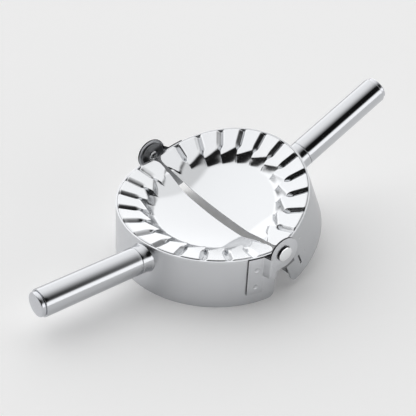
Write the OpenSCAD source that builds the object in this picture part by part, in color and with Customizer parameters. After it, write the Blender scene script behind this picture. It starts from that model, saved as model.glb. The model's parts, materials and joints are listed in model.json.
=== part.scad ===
// Empanada press: two half rings with pleated half bowls, riveted together at both ends of
// the hinge line so that one half folds over onto the other.
// Millimetres. The left half lies flat on the plane z = 0 and the right half stands raised by
// raise_angle. The origin is on that plane, below the middle of the overall length.
// Each half is drawn once, as it would lie flat with the hinge line above its origin and its
// handle along +X: the lap end points to -Y and the leaf end to +Y. The left half is that
// shape turned half a turn.

/* [Pose] */
// Angle of the right half above flat, in degrees
raise_angle = 24; // [0:1:170]

/* [Ring] */
// Outside radius of the ring of sheet
ring_radius = 50; // [44:0.5:60]
// Height of the ring
band_height = 28; // [25:0.5:33]
// Sheet thickness of the ring
band_wall = 0.8; // [0.6:0.1:1]
// Distance from each band end to the hinge plane
end_gap = 0.45; // [0.4:0.05:0.8]
// Rounding of the lower corners at the band ends
corner_round = 4.5; // [3:0.5:6]

/* [Bowl] */
// Sheet thickness of the pleated bowl
bowl_wall = 0.6; // [0.5:0.1:0.7]
// Height of the bowl's rim above the top of the ring
rim_rise = 0.6; // [0.1:0.1:1]
// Depth from the rim to the middle of the bowl
bowl_depth = 10.3; // [8:0.1:13]
// Rise of the bowl floor from its middle to its foot
floor_rise = 2.2; // [1:0.1:3]
// Fall of the crimping lands towards the bowl, in degrees
land_slope = 13; // [8:1:15]
// Width of the pleated lands between two grooves, from the rim inwards
land_width = 12.3; // [11:0.1:14]
// Width of the rounded wall between lands and floor, seen from above
wall_run = 7; // [6:0.1:9]
// How much nearer to the rim the wall begins at each groove
lobe_reach = 5.2; // [2:0.1:6]
// Number of grooves in each half
groove_count = 11; // [9:1:12]
// Depth of a groove
groove_depth = 1.9; // [1:0.1:2.2]
// Depth of a groove at the rim
rim_depth = 1.3; // [0.8:0.1:2]
// Width of a groove
groove_width = 4.4; // [3:0.1:5]
// Distance over which a groove opens from its pointed inner end
groove_run = 5; // [3:0.5:6]
// Height of the skirt turned down inside the ring
skirt_height = 4; // [3:0.5:5]
// Rounding of the bowl corners beside the hinge
bowl_corner = 5; // [4:0.5:6]
// Depth of the flat facet beside the hinge, below the lands' inner edge
facet_step = 0.6; // [0.2:0.1:2]
// Steepness of that facet
facet_slope = 0.36; // [0.2:0.02:0.6]

/* [Hinge] */
// Height of the hinge axis above the bowl's rim
axis_rise = 0.2; // [0.15:0.05:0.5]
// Thickness of the hinge leaves
leaf_wall = 0.9; // [0.7:0.1:1]
// Radius of the outer ears
ear_radius = 8.5; // [8:0.5:10]
// Space between the ring and the inner ears
ear_standoff = 2; // [1.8:0.1:2.4]
// Radius of the rivet shanks
rivet_radius = 2; // [1.6:0.1:2.4]
// Radius of the domed rivet heads
rivet_head = 4; // [3.5:0.1:4.5]
// How far the leaves reach from the hinge plane along the ring
leaf_reach = 17; // [15:0.5:20]

/* [Handles] */
// Distance from the top of the ring down to the handle axis
handle_drop = 9.3; // [9.2:0.1:12]
// Sideways shift of both handles towards the front rivet
handle_shift = 6.9; // [0:0.1:8]
// Outside diameter of the handle tubes
tube_diameter = 14.3; // [13:0.1:15]
// Wall of the handle tubes
tube_wall = 1; // [0.8:0.1:1.5]
// Distance from the hinge plane to the tube end
tube_reach = 108.4; // [95:0.1:140]
// Length of the neck between ring and tube
neck_length = 4.4; // [4:0.1:6]
// Radius of the neck where it meets the ring
neck_flare = 7.7; // [7.4:0.1:8.6]
// Length of the plug showing beyond the tube
plug_show = 2.3; // [1.5:0.1:4]

/* [Hidden] */
// Clearance between fixed pieces that touch
seat = 0.03;
// Play between pieces of different halves
play = 0.3;
// Radial clearance of the turning ears on the rivets
running = 0.06;
band_inner = ring_radius - band_wall;
steel = [0.72, 0.73, 0.75];
bright = [0.85, 0.86, 0.88];
dark = [0.5, 0.51, 0.53];
smooth_round = 96;
ring_round = 360;

// Bowl
rim_z = band_height + rim_rise;
hinge_z = rim_z + axis_rise;
rim_radius = band_inner - 0.05;
rim_bend = 0.85;
land_inner = rim_radius - land_width;
bowl_foot = land_inner - wall_run;
groove_pitch = 180 / (groove_count + 1);
// Inner ends of the grooves, how far the wall's upper edge lies in from the lands, how far
// from the foot the lobes of the wall begin, and how far from the rim the grooves get shallow
groove_start = land_inner - 0.2;
edge_inset = 1.7;
lobe_start = 1.5;
rim_fade = 3;
// Radii of the mesh rings from the middle outwards, then the turned rim
ring_radii = [
    bowl_foot * 0.3, bowl_foot * 0.55, bowl_foot * 0.78, bowl_foot * 0.92, bowl_foot,
    bowl_foot + wall_run * 0.2, bowl_foot + wall_run * 0.4, bowl_foot + wall_run * 0.58,
    bowl_foot + wall_run * 0.76, groove_start, groove_start + groove_run * 0.2,
    groove_start + groove_run * 0.42, groove_start + groove_run * 0.7,
    groove_start + groove_run, rim_radius - bowl_corner * 0.7,
    rim_radius - bowl_corner * 0.4, rim_radius - rim_bend, rim_radius - rim_bend * 0.35,
    rim_radius, rim_radius
];
// Fall of the turned rim below the land, ring by ring
rim_fall = [0.15, rim_bend * 0.7];
flat_rings = len(ring_radii) - 3;

// Hinge
inner_ear_y = ring_radius + ear_standoff;
outer_ear_y = inner_ear_y + leaf_wall + play;
stack_top = outer_ear_y + leaf_wall;
joggle_x = ear_radius - 0.9;
inner_ear_radius = joggle_x - 0.7;
// Lower edge of leaves and laps above the lower edge of the ring
leaf_low = 6.4;
// Lower edges of the leaf's arm and of the lap's web, below the top of the ring
arm_drop = 11.3;
web_drop = 11;
arm_low = band_height - arm_drop;
lap_low = band_height - web_drop;
lap_high = rim_z - skirt_height - 0.6;
lap_web = end_gap + 0.05;
// Spot welds: heights from the pieces they join, and places in from the leaf's end
weld_inset = 4.4;
leaf_welds = [leaf_low + weld_inset, band_height - weld_inset * 1.6];
lap_welds = [leaf_low + weld_inset, lap_high - weld_inset / 2];
leaf_weld_radius = 1.2;
lap_weld_radius = 0.9;
// Slot in the ring beside the lap
slot_x = 9;
slot_width = 0.9;
slot_low = 6;
slot_length = 6.6;
// Stop tab at the leaf end of the ring, below its top
tab_drop = 17.6;
tab_length = 4.7;
// Domed head and rolled tail of the rivets
dome_height = 1.7;
tail_radius = rivet_radius + 0.5;
tail_length = 0.8;

// Handles
tube_radius = tube_diameter / 2;
tube_bore = tube_radius - tube_wall;
handle_height = band_height - handle_drop;
seam_x = ring_radius + neck_length - 0.5;
// Length of the plug's shank and of the tapped core, in the tube
plug_length = 12;
core_length = 13;
// Chamfer at the inner ends of plug and core
lead = 1;
screw_radius = 2;
screw_hole = 2.3;
screw_length = 15.8;
screw_head = 3.8;
screw_head_height = 2.3;
cross_slot = 0.8;
washer_radius = 5;
washer_edge = 0.5;
screw_seat_x = sqrt(pow(band_inner, 2) - pow(handle_shift + washer_radius, 2)) - washer_edge;

// Placing of the two halves and the rivets

plug_radius = tube_radius - 0.85;
tip_x = tube_reach + plug_show;
raised_tip_x = max(tip_x * cos(raise_angle),
    tip_x * cos(raise_angle) + (hinge_z - handle_height + plug_radius) * sin(raise_angle));
hinge_x = (tip_x - raised_tip_x) / 2;

module raised() {
    translate([hinge_x, 0, hinge_z])
        rotate([0, -raise_angle, 0])
            translate([0, 0, -hinge_z])
                children();
}

module turned() {
    translate([hinge_x, 0, 0])
        rotate([0, 0, 180])
            children();
}

module on_hinge(mirrored) {
    translate([hinge_x, 0, 0])
        mirror([0, mirrored ? 1 : 0, 0])
            children();
}

// Handle pieces are drawn round their own axis; this puts them beside the ring.
// side is 1 for the right half and -1 for the left half.
module on_handle(side) {
    translate([0, -side * handle_shift, handle_height])
        rotate([0, 90, 0])
            children();
}

// Ring

module band_outline() {
    // Side view of one half seen along Y: straight top, lower corners rounded
    translate([end_gap, 0])
        difference() {
            square([ring_radius, band_height]);
            difference() {
                translate([-1, -1])
                    square(corner_round + 1);
                translate([corner_round, corner_round])
                    circle(corner_round, $fn = smooth_round);
            }
        }
}

module band(side) {
    color(steel)
        difference() {
            union() {
                intersection() {
                    difference() {
                        cylinder(h = band_height, r = ring_radius, $fn = ring_round);
                        translate([0, 0, -1])
                            cylinder(h = band_height + 2, r = band_inner, $fn = ring_round);
                    }
                    rotate([90, 0, 0])
                        translate([0, 0, -ring_radius - 1])
                            linear_extrude(2 * ring_radius + 2)
                                band_outline();
                }
                // Small stop tab at the leaf end
                translate([-end_gap, ring_radius - band_wall, band_height - tab_drop])
                    cube([end_gap * 2 + 2, band_wall * 0.9, tab_length]);
            }
            // Notch for the web of the lap
            translate([0, -ring_radius - 1, lap_low - play])
                cube([lap_web + leaf_wall + 0.2, 4, band_height]);
            // Slot beside the lap
            translate([slot_x, -ring_radius - 1, slot_low])
                cube([slot_width, 4, slot_length]);
            // Weld marks of the lap
            for (z = lap_welds)
                weld_mark(leaf_reach - weld_inset * 0.75, z, -1, ring_radius, lap_weld_radius);
            on_handle(side)
                cylinder(h = ring_radius + 1, r = screw_hole, $fn = smooth_round);
        }
}

// Shallow round dimple of radius mark in a cylinder face, at x along the ring
module weld_mark(x, z, y_side, face, mark) {
    depth = 0.2;
    ball = (mark * mark + depth * depth) / 2 / depth;
    rotate([0, 0, y_side * acos(x / face)])
        translate([face + ball - depth, 0, z])
            sphere(ball, $fn = 48);
}

// Bowl

function share(t) = min(1, max(0, t));
function smooth(t) = let (u = share(t)) u * u * (3 - 2 * u);
// Straight slope from 0 to 1 with rounded ends
function ramp(t) = let (u = share(t), c = 0.22, k = 1 / (1 - c))
    u < c ? u * u / 2 / c * k : u > 1 - c ? 1 - pow(1 - u, 2) / 2 / c * k : (u - c / 2) * k;
function land_fall(r) = (rim_radius - r) * tan(land_slope);
function floor_fall(r) = bowl_depth - floor_rise * pow(r / bowl_foot, 2);
// Upper edge of the wall: it bulges outwards between the lands. near is 1 at a groove's
// middle and 0 midway between two grooves.
function wall_edge(r, near) = land_inner - edge_inset
    + lobe_reach * pow(near, 1.3) * smooth((r - bowl_foot - lobe_start) / wall_run);
function round_fall(r, near) = let (
    edge = wall_edge(r, near),
    s = ramp((edge - r) / (edge - bowl_foot))
) land_fall(max(r, bowl_foot)) * (1 - s) + floor_fall(min(r, bowl_foot)) * s;
function facet_fall(y) = land_fall(land_inner) + facet_step
    + max(0, land_inner - abs(y)) * facet_slope;
function edge_x(r) = let (past = min(bowl_corner, max(0, r - rim_radius + bowl_corner)))
    end_gap + bowl_corner - sqrt(pow(bowl_corner, 2) - pow(past, 2));
function end_angle(r) = acos(edge_x(r) / r);
// Share of the groove's length at radius r, its half width there as an angle, and its depth
function groove_share(r) = share((r - groove_start) / groove_run);
function groove_half(r) = let (open = 1 - pow(1 - groove_share(r), 2.2))
    min(3.4, groove_width * (0.06 + 0.44 * open) / r * 180 / PI);
function groove_fall(r) = let (s = smooth((r - rim_radius + rim_fade) / rim_fade))
    (groove_depth * (1 - s) + rim_depth * s) * smooth(groove_share(r) * 1.6);

// Mesh columns: [groove number, share of the half width, share of the way to the next groove]
groove_shares = [-1, -0.5, 0, 0.5, 1];
land_shares = [0.25, 0.5, 0.75];
first_groove = -(groove_count - 1) / 2;
last_groove = (groove_count - 1) / 2;
columns = [
    for (k = [first_groove : last_groove])
        each concat(
            [for (s = groove_shares) [k, s, 0]],
            k < last_groove ? [for (s = land_shares) [k, 1, s]] : []
        )
];
function column_angle(c, r) = let (
    half = groove_half(r),
    land = groove_pitch - 2 * half
) c[0] * groove_pitch + c[1] * half + c[2] * land;
// Every column of one ring as [angle, share of the groove's depth], hinge ends included
function ring_columns(r) = let (
    e = end_angle(r),
    o = last_groove * groove_pitch + groove_half(r),
    tight = min(1, (e - 1) / (o + 1))
) concat(
    [[-e, 0], [-(e * 2 + o * tight) / 3, 0], [-(e + o * tight * 2) / 3, 0]],
    [for (c = columns) [column_angle(c, r) * tight, c[2] == 0 ? pow(1 - abs(c[1]), 1.6) : 0]],
    [[(e + o * tight * 2) / 3, 0], [(e * 2 + o * tight) / 3, 0], [e, 0]]
);
// 1 at the middle of a groove, 0 midway between two and beside the hinge
function nearness(a) = let (
    k = min(last_groove, max(first_groove, round(a / groove_pitch))),
    off = min(0.5, abs(a / groove_pitch - k))
) 0.5 + 0.5 * cos(360 * off);
function sheet_fall(r, a) = min(round_fall(r, nearness(a)), facet_fall(r * sin(a)));
function sheet_point(i, q) = let (
    r = ring_radii[i],
    rim = i > flat_rings - 1 ? rim_fall[min(1, i - flat_rings)] : 0,
    z = rim_z - sheet_fall(r, q[0]) - q[1] * groove_fall(r) - rim
) [r * cos(q[0]), r * sin(q[0]), i == len(ring_radii) - 1 ? rim_z - skirt_height : z];

upper = [for (i = [0 : len(ring_radii) - 1]) [for (q = ring_columns(ring_radii[i]))
    sheet_point(i, q)]];
ring_total = len(upper);
col_total = len(upper[0]);
middle = [end_gap, 0, rim_z - bowl_depth];

function unit(v) = v / norm(v);
function upward(i, j) = let (
    along = upper[i][min(col_total - 1, j + 1)] - upper[i][max(0, j - 1)],
    inward = i == 0 ? middle : upper[i - 1][j],
    outward = upper[min(ring_total - 1, i + 1)][j]
) unit(cross(outward - inward, along));
// Under side: the upper side moved by the sheet thickness, kept on the cut edge
function under_point(i, j) = let (
    n = upward(i, j),
    edge = j == 0 || j == col_total - 1,
    m = edge ? unit([0, n[1], n[2]]) : n,
    p = upper[i][j] - bowl_wall * m
) i == ring_total - 1 ? [p[0], p[1], rim_z - skirt_height] : p;
under = [for (i = [0 : ring_total - 1]) [for (j = [0 : col_total - 1]) under_point(i, j)]];

function pick(i, j) = 1 + i * col_total + j;
under_start = 1 + ring_total * col_total;
bowl_points = concat(
    [middle], [for (row = upper) each row],
    [middle - [0, 0, bowl_wall]], [for (row = under) each row]
);
bowl_faces = concat(
    [for (j = [0 : col_total - 2]) [0, pick(0, j + 1), pick(0, j)]],
    [for (i = [0 : ring_total - 2]) for (j = [0 : col_total - 2]) each [
        [pick(i, j), pick(i, j + 1), pick(i + 1, j + 1)],
        [pick(i, j), pick(i + 1, j + 1), pick(i + 1, j)]
    ]],
    [for (j = [0 : col_total - 2])
        [under_start, under_start + pick(0, j), under_start + pick(0, j + 1)]],
    [for (i = [0 : ring_total - 2]) for (j = [0 : col_total - 2]) each [
        [under_start + pick(i, j), under_start + pick(i + 1, j + 1),
            under_start + pick(i, j + 1)],
        [under_start + pick(i, j), under_start + pick(i + 1, j),
            under_start + pick(i + 1, j + 1)]
    ]],
    // Skirt bottom
    [for (j = [0 : col_total - 2]) each [
        [pick(ring_total - 1, j), pick(ring_total - 1, j + 1),
            under_start + pick(ring_total - 1, j + 1)],
        [pick(ring_total - 1, j), under_start + pick(ring_total - 1, j + 1),
            under_start + pick(ring_total - 1, j)]
    ]],
    // Cut edges beside the hinge
    [for (i = [0 : ring_total - 2]) each [
        [pick(i, 0), pick(i + 1, 0), under_start + pick(i + 1, 0)],
        [pick(i, 0), under_start + pick(i + 1, 0), under_start + pick(i, 0)],
        [pick(i, col_total - 1), under_start + pick(i + 1, col_total - 1),
            pick(i + 1, col_total - 1)],
        [pick(i, col_total - 1), under_start + pick(i, col_total - 1),
            under_start + pick(i + 1, col_total - 1)]
    ]],
    [
        [0, pick(0, 0), under_start + pick(0, 0)],
        [0, under_start + pick(0, 0), under_start],
        [0, under_start + pick(0, col_total - 1), pick(0, col_total - 1)],
        [0, under_start, under_start + pick(0, col_total - 1)]
    ]
);

module bowl() {
    color(bright)
        polyhedron(points = bowl_points, faces = bowl_faces, convexity = 8);
}

// Hinge leaf on the outside of the ring, at the leaf end of a half

module ear_plate(y, points, radius) {
    translate([0, y + leaf_wall, 0])
        rotate([90, 0, 0])
            linear_extrude(leaf_wall)
                union() {
                    polygon(points);
                    translate([0, hinge_z])
                        circle(radius, $fn = smooth_round);
                }
}

module leaf(hole) {
    top = band_height - 0.1;
    face = ring_radius + seat;
    knee = ear_radius + 0.3;
    foot = sqrt(pow(face + 0.05, 2) - pow(knee - 0.6, 2));
    heel = sqrt(pow(face + 0.02, 2) - pow(knee + 0.5, 2));
    color(steel)
        difference() {
            union() {
                intersection() {
                    difference() {
                        cylinder(h = top, r = face + leaf_wall, $fn = ring_round);
                        translate([0, 0, -1])
                            cylinder(h = top + 2, r = face, $fn = ring_round);
                    }
                    translate([knee, 0, leaf_low])
                        cube([leaf_reach - knee, ring_radius + 2, top - leaf_low]);
                }
                // Step outwards to the ear
                translate([0, 0, arm_low])
                    linear_extrude(top - arm_low)
                        polygon([
                            [knee - 0.6, foot], [joggle_x - 0.4, outer_ear_y],
                            [joggle_x - 1.6, outer_ear_y], [joggle_x - 1.6, stack_top],
                            [joggle_x + 0.4, stack_top], [knee + 0.5, heel + leaf_wall],
                            [knee + 0.5, heel]
                        ]);
                ear_plate(outer_ear_y, [
                    [0, hinge_z - ear_radius], [joggle_x - 1.4, arm_low + 2],
                    [joggle_x - 0.2, arm_low], [joggle_x - 0.2, top], [0, top]
                ], ear_radius);
            }
            rivet_hole(hole);
            for (z = leaf_welds)
                weld_mark(leaf_reach - weld_inset, z, 1, face + leaf_wall, leaf_weld_radius);
        }
}

// Hinge lap welded inside the ring, with a web through the notch to the inner ear

module lap(hole) {
    face = band_inner - seat;
    tongue_y = band_inner - 0.4;
    color(dark)
        difference() {
            union() {
                intersection() {
                    difference() {
                        cylinder(h = lap_high, r = face, $fn = ring_round);
                        translate([0, 0, -1])
                            cylinder(h = lap_high + 2, r = face - leaf_wall, $fn = ring_round);
                    }
                    translate([lap_web, -ring_radius, leaf_low])
                        cube([leaf_reach - lap_web, ring_radius, lap_high - leaf_low]);
                }
                translate([lap_web, -inner_ear_y - leaf_wall, lap_low])
                    cube([leaf_wall, inner_ear_y + leaf_wall - face + leaf_wall * 0.8,
                        lap_high - lap_low]);
                // Tongue that backs the end of the other half
                translate([0, -tongue_y + leaf_wall * 0.9, 0])
                    rotate([90, 0, 0])
                        linear_extrude(leaf_wall * 0.9)
                            polygon([
                                [lap_web + 1, leaf_low], [lap_web + 1, lap_low + 3],
                                [-2, lap_low + 3], [-2, lap_low - 3.5], [lap_web, leaf_low]
                            ]);
                translate([0, -2 * inner_ear_y - leaf_wall, 0])
                    ear_plate(inner_ear_y, [
                        [-3.5, lap_high], [-3.5, lap_low + 2], [-1, lap_low],
                        [4.5, lap_low], [4.5, lap_high]
                    ], inner_ear_radius);
            }
            mirror([0, 1, 0])
                rivet_hole(hole);
        }
}

module rivet_hole(radius) {
    translate([0, 0, hinge_z])
        rotate([-90, 0, 0])
            cylinder(h = stack_top + 1, r = radius, $fn = smooth_round);
}

// Rivet along +Y: the head seats at head_y, the rolled tail at tail_y

module rivet(head_y, tail_y) {
    dome_ball = (pow(rivet_head, 2) + pow(dome_height, 2)) / 2 / dome_height;
    color(bright)
        translate([0, 0, hinge_z])
            rotate([-90, 0, 0]) {
                translate([0, 0, head_y])
                    intersection() {
                        translate([0, 0, dome_height - dome_ball])
                            sphere(dome_ball, $fn = smooth_round);
                        cylinder(h = dome_height + 1, r = rivet_head, $fn = smooth_round);
                    }
                difference() {
                    union() {
                        translate([0, 0, tail_y - tail_length])
                            cylinder(h = head_y - tail_y + tail_length + 0.4,
                                r = rivet_radius, $fn = smooth_round);
                        translate([0, 0, tail_y - tail_length / 2])
                            rotate_extrude($fn = smooth_round)
                                translate([tail_radius - tail_length / 2, 0])
                                    circle(tail_length / 2, $fn = 24);
                    }
                    translate([0, 0, tail_y - tail_length - 1])
                        cylinder(h = tail_length * 2 + 0.9, r = rivet_radius * 0.6,
                            $fn = smooth_round);
                }
            }
}

// Handle

module neck(side) {
    color(bright)
        difference() {
            on_handle(side)
                rotate_extrude($fn = smooth_round)
                    polygon([
                        [screw_hole, ring_radius - 6], [neck_flare, ring_radius - 6],
                        [neck_flare, ring_radius - 1.4],
                        [neck_flare - 0.25, ring_radius - 0.6],
                        [tube_radius + 0.25, ring_radius + 0.4],
                        [tube_radius + 0.12, ring_radius + 1.8],
                        [tube_radius + 0.05, seam_x - 0.8], [tube_radius, seam_x - 0.3],
                        [tube_radius - 0.3, seam_x], [screw_hole, seam_x]
                    ]);
            translate([0, 0, -1])
                cylinder(h = band_height * 2, r = ring_radius + seat, $fn = ring_round);
        }
}

module tube(side) {
    chamfer = 0.3;
    color(bright)
        on_handle(side)
            rotate_extrude($fn = smooth_round)
                polygon([
                    [tube_bore, seam_x], [tube_radius - chamfer, seam_x],
                    [tube_radius, seam_x + chamfer], [tube_radius, tube_reach - chamfer],
                    [tube_radius - chamfer, tube_reach], [tube_bore, tube_reach]
                ]);
}

module end_plug(side) {
    shank = tube_bore - seat;
    color(steel)
        on_handle(side)
            rotate_extrude($fn = smooth_round)
                polygon([
                    [0, tube_reach - plug_length], [shank - lead, tube_reach - plug_length],
                    [shank, tube_reach - plug_length + lead], [shank, tube_reach],
                    [plug_radius, tube_reach + seat], [plug_radius, tip_x - 0.6],
                    [plug_radius - 0.6, tip_x], [0, tip_x]
                ]);
}

module core(side) {
    shank = tube_bore - seat;
    color(dark)
        on_handle(side)
            rotate_extrude($fn = smooth_round)
                polygon([
                    [screw_radius + seat, seam_x + seat], [shank, seam_x + seat],
                    [shank, seam_x + core_length - lead], [shank - lead, seam_x + core_length],
                    [screw_radius + seat, seam_x + core_length]
                ]);
}

module washer(side) {
    color(steel)
        difference() {
            intersection() {
                on_handle(side)
                    translate([0, 0, screw_seat_x])
                        cylinder(h = washer_radius, r = washer_radius, $fn = smooth_round);
                cylinder(h = band_height, r = band_inner - seat, $fn = ring_round);
            }
            on_handle(side)
                cylinder(h = ring_radius + 5, r = screw_hole, $fn = smooth_round);
        }
}

module screw(side) {
    turned_edge = screw_head * 0.24;
    tip = screw_radius * 0.3;
    color(steel)
        on_handle(side)
            translate([0, 0, screw_seat_x - seat])
                difference() {
                    rotate_extrude($fn = smooth_round)
                        polygon([
                            [0, -screw_head_height],
                            [screw_head - turned_edge, -screw_head_height],
                            [screw_head, turned_edge - screw_head_height],
                            [screw_head, 0], [screw_radius, 0],
                            [screw_radius, screw_length - tip],
                            [screw_radius - tip, screw_length], [0, screw_length]
                        ]);
                    for (turn = [0, 90])
                        rotate([0, 0, turn])
                            translate([-screw_radius * 1.1, -cross_slot / 2,
                                -screw_head_height * 1.5])
                                cube([screw_radius * 2.2, cross_slot, screw_head_height]);
                }
}

turned() band(-1);  // left_band
turned() bowl();  // left_bowl
turned() leaf(rivet_radius + seat);  // left_front_leaf
turned() lap(rivet_radius + seat);  // left_back_lap
turned() neck(-1);  // left_neck
turned() tube(-1);  // left_tube
turned() end_plug(-1);  // left_end_plug
turned() core(-1);  // left_core
turned() screw(-1);  // left_screw
turned() washer(-1);  // left_washer
raised() band(1);  // right_band
raised() bowl();  // right_bowl
raised() lap(rivet_radius + running);  // right_front_lap
raised() leaf(rivet_radius + running);  // right_back_leaf
raised() neck(1);  // right_neck
raised() tube(1);  // right_tube
raised() end_plug(1);  // right_end_plug
raised() core(1);  // right_core
raised() screw(1);  // right_screw
raised() washer(1);  // right_washer
on_hinge(true) rivet(stack_top, inner_ear_y - play);  // front_rivet
on_hinge(false) rivet(stack_top + play, inner_ear_y);  // back_rivet
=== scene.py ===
import json
import math

import bmesh
import bpy
from mathutils import Matrix, Vector


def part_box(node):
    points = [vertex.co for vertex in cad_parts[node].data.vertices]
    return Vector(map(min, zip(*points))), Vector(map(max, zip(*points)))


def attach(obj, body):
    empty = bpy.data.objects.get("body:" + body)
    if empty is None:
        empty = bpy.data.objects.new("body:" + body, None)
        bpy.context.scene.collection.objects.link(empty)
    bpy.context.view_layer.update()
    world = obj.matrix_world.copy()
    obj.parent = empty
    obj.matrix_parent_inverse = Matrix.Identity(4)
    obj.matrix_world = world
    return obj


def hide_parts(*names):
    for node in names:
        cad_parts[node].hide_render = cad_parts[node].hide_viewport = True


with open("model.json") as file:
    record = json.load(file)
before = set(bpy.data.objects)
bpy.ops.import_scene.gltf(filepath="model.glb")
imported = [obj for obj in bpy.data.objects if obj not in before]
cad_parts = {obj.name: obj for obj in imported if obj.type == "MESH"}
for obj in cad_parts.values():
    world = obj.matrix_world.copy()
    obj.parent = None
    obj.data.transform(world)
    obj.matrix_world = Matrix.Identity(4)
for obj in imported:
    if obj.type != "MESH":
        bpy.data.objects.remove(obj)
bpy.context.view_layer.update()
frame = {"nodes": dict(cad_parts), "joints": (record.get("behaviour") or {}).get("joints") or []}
mm = 0.001

# Sizes of the ring that everything else is placed from, read off the construction
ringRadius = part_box("left_band")[1].y
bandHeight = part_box("left_band")[1].z
foldJoint = frame["joints"][0]
hingeX, _, hingeZ = foldJoint["pos_m"]
raiseAngle = math.radians(-foldJoint["range_deg"][0])
bandWall = 0.8 * mm
endGap = 0.45 * mm
seat = 0.03 * mm
rimZ = bandHeight + 0.6 * mm
rimRadius = ringRadius - bandWall - 0.05 * mm

# A half is drawn lying flat, hinge line above the origin and handle along +X
rightPlace = (Matrix.Translation((hingeX, 0, hingeZ))
              @ Matrix.Rotation(-raiseAngle, 4, "Y")
              @ Matrix.Translation((0, 0, -hingeZ)))
leftPlace = Matrix.Translation((hingeX, 0, 0)) @ Matrix.Rotation(math.pi, 4, "Z")
halves = {
    "left": {"place": leftPlace, "side": -1, "body": "left_half"},
    "right": {"place": rightPlace, "side": 1, "body": "right_half"},
}


# Materials

def addNode(tree, kind, **values):
    node = tree.nodes.new(kind)
    for name, value in values.items():
        if hasattr(node, name):
            setattr(node, name, value)
        else:
            node.inputs[name.replace("_", " ")].default_value = value
    return node


def makeSteel(name, look, turn=0.0):
    # look: colour, roughness and the fine lines that the polishing left in the steel
    material = bpy.data.materials.new(name)
    material.use_nodes = True
    tree = material.node_tree
    link = tree.links.new
    shader = tree.nodes["Principled BSDF"]
    shader.inputs["Metallic"].default_value = 1.0

    place = addNode(tree, "ShaderNodeTexCoord")
    level = addNode(tree, "ShaderNodeMapping")
    level.inputs["Rotation"].default_value = (0, turn, 0)
    link(place.outputs["Object"], level.inputs["Vector"])

    stretch = addNode(tree, "ShaderNodeMapping")
    stretch.inputs["Scale"].default_value = look["lineScale"]
    link(level.outputs["Vector"], stretch.inputs["Vector"])
    lines = addNode(tree, "ShaderNodeTexNoise", Scale=1.0, Detail=4.0, Roughness=0.7)
    link(stretch.outputs["Vector"], lines.inputs["Vector"])

    clouds = addNode(tree, "ShaderNodeTexNoise", Scale=look["cloudScale"], Detail=3.0)
    link(level.outputs["Vector"], clouds.inputs["Vector"])

    tone = addNode(tree, "ShaderNodeMix", data_type="RGBA", blend_type="MIX")
    link(lines.outputs["Fac"], tone.inputs["Factor"])
    tone.inputs[6].default_value = (*[c * look["shade"] for c in look["colour"]], 1)
    tone.inputs[7].default_value = (*look["colour"], 1)
    link(tone.outputs[2], shader.inputs["Base Color"])

    gloss = addNode(tree, "ShaderNodeMapRange")
    gloss.inputs["To Min"].default_value = look["roughness"][0]
    gloss.inputs["To Max"].default_value = look["roughness"][1]
    blend = addNode(tree, "ShaderNodeMath", operation="MULTIPLY")
    link(lines.outputs["Fac"], blend.inputs[0])
    link(clouds.outputs["Fac"], blend.inputs[1])
    spread = addNode(tree, "ShaderNodeMath", operation="MULTIPLY")
    link(blend.outputs[0], spread.inputs[0])
    spread.inputs[1].default_value = 2.0
    link(spread.outputs[0], gloss.inputs["Value"])
    link(gloss.outputs["Result"], shader.inputs["Roughness"])

    relief = addNode(tree, "ShaderNodeBump")
    relief.inputs["Strength"].default_value = look["relief"]
    relief.inputs["Distance"].default_value = 0.02 * mm
    link(lines.outputs["Fac"], relief.inputs["Height"])
    link(relief.outputs["Normal"], shader.inputs["Normal"])
    return material


bandLook = {"colour": (0.67, 0.68, 0.70), "shade": 0.93, "roughness": (0.26, 0.38),
            "lineScale": (60, 60, 9000), "cloudScale": 60, "relief": 0.25}
bowlLook = {"colour": (0.64, 0.65, 0.665), "shade": 0.98, "roughness": (0.16, 0.22),
            "lineScale": (500, 500, 500), "cloudScale": 45, "relief": 0.04}
hingeLook = {"colour": (0.63, 0.64, 0.66), "shade": 0.93, "roughness": (0.24, 0.36),
             "lineScale": (300, 300, 7000), "cloudScale": 90, "relief": 0.25}
handleLook = {"colour": (0.56, 0.57, 0.59), "shade": 0.96, "roughness": (0.08, 0.15),
              "lineScale": (7000, 60, 60), "cloudScale": 50, "relief": 0.12}
plugLook = {"colour": (0.60, 0.61, 0.64), "shade": 0.94, "roughness": (0.16, 0.26),
            "lineScale": (4000, 300, 300), "cloudScale": 90, "relief": 0.2}
# near-black steel for cut rims and the rivet heads' walls: painted shade and painted dark
# reflection, not the steel's own colour
paintedShadeEdgeLook = {"colour": (0.035, 0.035, 0.037), "shade": 0.8, "roughness": (0.42, 0.56),
            "lineScale": (900, 900, 900), "cloudScale": 300, "relief": 0.3}
# the laps take a dark copy of the hinge steel: painted shade where they sit in shadow by the
# hinge
paintedShadeLapLook = dict(hingeLook, colour=(0.22, 0.223, 0.23))
innerLook = {"colour": (0.50, 0.51, 0.53), "shade": 0.9, "roughness": (0.3, 0.42),
             "lineScale": (2500, 2500, 2500), "cloudScale": 200, "relief": 0.3}
rivetLook = {"colour": (0.86, 0.87, 0.88), "shade": 0.97, "roughness": (0.07, 0.13),
             "lineScale": (900, 900, 900), "cloudScale": 150, "relief": 0.08}

steels = {}
for side, turn in (("left", 0.0), ("right", raiseAngle)):
    for kind, look in (("band", bandLook), ("bowl", bowlLook), ("hinge", hingeLook),
                       ("handle", handleLook), ("plug", plugLook), ("inner", innerLook),
                       ("rivet", rivetLook), ("edge", paintedShadeEdgeLook), ("lap", paintedShadeLapLook)):
        # the right band takes a darker copy of the band steel: painted shade, as both bands are
        # the same steel
        if (side, kind) == ("right", "band"):
            look = dict(look, colour=(0.53, 0.54, 0.555))
        steels[side, kind] = makeSteel(f"{kind}Steel_{side}", look, turn)
print("steels ready:", len(steels))


# Shared mesh tools

def newObject(name, mesh, place=None):
    if place is not None:
        mesh.transform(place)
    piece = bpy.data.objects.new(name, mesh)
    bpy.context.scene.collection.objects.link(piece)
    return piece


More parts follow.
